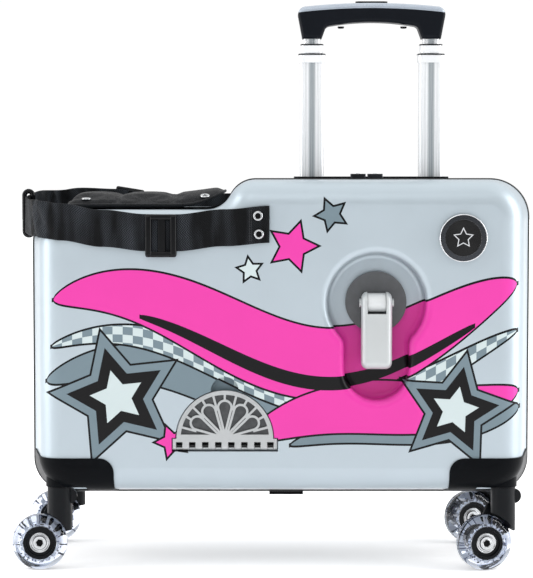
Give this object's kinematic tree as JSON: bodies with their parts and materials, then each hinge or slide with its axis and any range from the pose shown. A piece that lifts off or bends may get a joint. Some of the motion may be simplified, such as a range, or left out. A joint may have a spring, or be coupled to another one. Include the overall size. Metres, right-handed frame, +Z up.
{
  "type": "ride-on suitcase",
  "caption": "Child's hard-shell cabin case to ride on: quilted saddle, fold-out handlebars and foot pedals, carrying belt, telescopic trolley handle and swivel casters with clear wheels.",
  "frame": {"origin": "on the floor below the middle of the case, in the plane where its halves meet", "axes": "+X along the case to its taller nose, +Y away from the face with the badge, +Z up"},
  "size_m": [0.5706, 0.2296, 0.622],
  "materials": {
    "shell": "printed satin film on moulded plastic",
    "lining": "woven polyester",
    "tape": "woven zip tape",
    "guard": "textured",
    "boss": "satin",
    "bar": "satin",
    "steel": "brushed",
    "pedal_plate": "satin",
    "pedal_fan": "silver paint",
    "tube": "anodised",
    "collar": "silver paint",
    "housing": "plain",
    "bezel": "satin",
    "grip": "fine grain",
    "grip_cap": "satin",
    "button": "satin",
    "fork": "moulded",
    "tyre": "clear cast urethane with dark and white flecks",
    "hub": "moulded",
    "webbing": "woven webbing",
    "buckle": "moulded",
    "ring": "gloss black",
    "cushion": "quilted leatherette",
    "badge_ring": "polished",
    "badge_disc": "spun",
    "zip": "polished"
  },
  "bodies": {
    "rear_case": {"rear_shell": "shell", "rear_lining": "lining", "rear_tape": "tape", "rear_corner_guards": "guard", "trolley_housing": "housing", "trolley_bezel": "bezel", "tape_end_cover": "guard", "rear_bar_base": "boss", "rear_pedal_base": "boss", "rear_hinge_pins": "steel", "rear_belt": "webbing", "rear_slide_buckle": "buckle", "rear_rivets": "steel", "belt_ring": "ring", "seat_cushion": "cushion"},
    "front_case": {"front_shell": "shell", "front_lining": "lining", "front_tape": "tape", "front_corner_guards": "guard", "front_bar_base": "boss", "front_pedal_base": "boss", "front_hinge_pins": "steel", "front_belt": "webbing", "front_slide_buckle": "buckle", "front_belt_rivets": "steel", "badge_ring": "badge_ring", "badge_disc": "badge_disc"},
    "handle_low": {"stage_low_tubes": "tube", "stage_low_collars": "collar"},
    "handle_mid": {"stage_mid_tubes": "tube", "stage_mid_collars": "collar"},
    "handle_grip": {"stage_top_tubes": "tube", "grip_body": "grip", "grip_cap": "grip_cap"},
    "grip_button": {"grip_button": "button"},
    "front_bar": {"front_bar": "bar"},
    "rear_bar": {"rear_bar": "bar"},
    "front_pedal": {"front_pedal": "pedal_plate", "front_pedal_fan": "pedal_fan"},
    "rear_pedal": {"rear_pedal": "pedal_plate", "rear_pedal_fan": "pedal_fan"},
    "zip_left": {"zip_slider_left": "zip"},
    "zip_right": {"zip_slider_right": "zip"},
    "front_left_caster": {"front_left_fork": "fork", "front_left_axle": "steel"},
    "front_left_wheel": {"front_left_tyre": "tyre", "front_left_hub": "hub"},
    "front_right_caster": {"front_right_fork": "fork", "front_right_axle": "steel"},
    "front_right_wheel": {"front_right_tyre": "tyre", "front_right_hub": "hub"},
    "rear_left_caster": {"rear_left_fork": "fork", "rear_left_axle": "steel"},
    "rear_left_wheel": {"rear_left_tyre": "tyre", "rear_left_hub": "hub"},
    "rear_right_caster": {"rear_right_fork": "fork", "rear_right_axle": "steel"},
    "rear_right_wheel": {"rear_right_tyre": "tyre", "rear_right_hub": "hub"}
  },
  "joints": [
    {"name": "case_open", "type": "hinge", "parent": "rear_case", "child": "front_case", "pos_m": [-0.2779, 0, 0.25], "axis": [0, 0, -1], "range_deg": [0, 90]},
    {"name": "handle_low", "type": "slide", "parent": "rear_case", "child": "handle_low", "axis": [0, 0, 1], "range_m": [-0.121, 0.15]},
    {"name": "handle_mid", "type": "slide", "parent": "handle_low", "child": "handle_mid", "axis": [0, 0, 1], "range_m": [0, 0.18]},
    {"name": "handle_grip", "type": "slide", "parent": "handle_mid", "child": "handle_grip", "axis": [0, 0, 1], "range_m": [0, 0.15]},
    {"name": "grip_button", "type": "slide", "parent": "handle_grip", "child": "grip_button", "axis": [0, 0, -1], "range_m": [0, 0.0025], "stiffness_N_per_m": 900},
    {"name": "front_bar_fold", "type": "hinge", "parent": "front_case", "child": "front_bar", "pos_m": [0.102, -0.0985, 0.291], "axis": [-1, 0, 0], "range_deg": [0, 90]},
    {"name": "rear_bar_fold", "type": "hinge", "parent": "rear_case", "child": "rear_bar", "pos_m": [0.102, 0.0985, 0.291], "axis": [1, 0, 0], "range_deg": [0, 90]},
    {"name": "front_pedal_fold", "type": "hinge", "parent": "front_case", "child": "front_pedal", "pos_m": [-0.061, -0.103, 0.136], "axis": [1, 0, 0], "range_deg": [0, 90]},
    {"name": "rear_pedal_fold", "type": "hinge", "parent": "rear_case", "child": "rear_pedal", "pos_m": [-0.061, 0.103, 0.136], "axis": [-1, 0, 0], "range_deg": [0, 90]},
    {"name": "zip_left_run", "type": "slide", "parent": "rear_case", "child": "zip_left", "axis": [1, 0, 0], "range_m": [-0.06, 0]},
    {"name": "zip_right_run", "type": "slide", "parent": "rear_case", "child": "zip_right", "axis": [1, 0, 0], "range_m": [0, 0.1]},
    {"name": "front_left_swivel", "type": "hinge", "parent": "front_case", "child": "front_left_caster", "pos_m": [-0.241, -0.084, 0.1], "axis": [0, 0, 1], "continuous": true},
    {"name": "front_left_roll", "type": "hinge", "parent": "front_left_caster", "child": "front_left_wheel", "pos_m": [-0.26257, -0.08513, 0.03], "axis": [-0.0523, 0.9986, 0], "continuous": true},
    {"name": "front_right_swivel", "type": "hinge", "parent": "front_case", "child": "front_right_caster", "pos_m": [0.241, -0.084, 0.1], "axis": [0, 0, 1], "continuous": true},
    {"name": "front_right_roll", "type": "hinge", "parent": "front_right_caster", "child": "front_right_wheel", "pos_m": [0.21995, -0.08886, 0.03], "axis": [-0.225, 0.9744, 0], "continuous": true},
    {"name": "rear_left_swivel", "type": "hinge", "parent": "rear_case", "child": "rear_left_caster", "pos_m": [-0.241, 0.084, 0.1], "axis": [0, 0, 1], "continuous": true},
    {"name": "rear_left_roll", "type": "hinge", "parent": "rear_left_caster", "child": "rear_left_wheel", "pos_m": [-0.26252, 0.08212, 0.03], "axis": [-0.0872, 0.9962, 0], "continuous": true},
    {"name": "rear_right_swivel", "type": "hinge", "parent": "rear_case", "child": "rear_right_caster", "pos_m": [0.241, 0.084, 0.1], "axis": [0, 0, 1], "continuous": true},
    {"name": "rear_right_roll", "type": "hinge", "parent": "rear_right_caster", "child": "rear_right_wheel", "pos_m": [0.22046, 0.07733, 0.03], "axis": [-0.309, 0.9511, 0], "continuous": true}
  ]
}
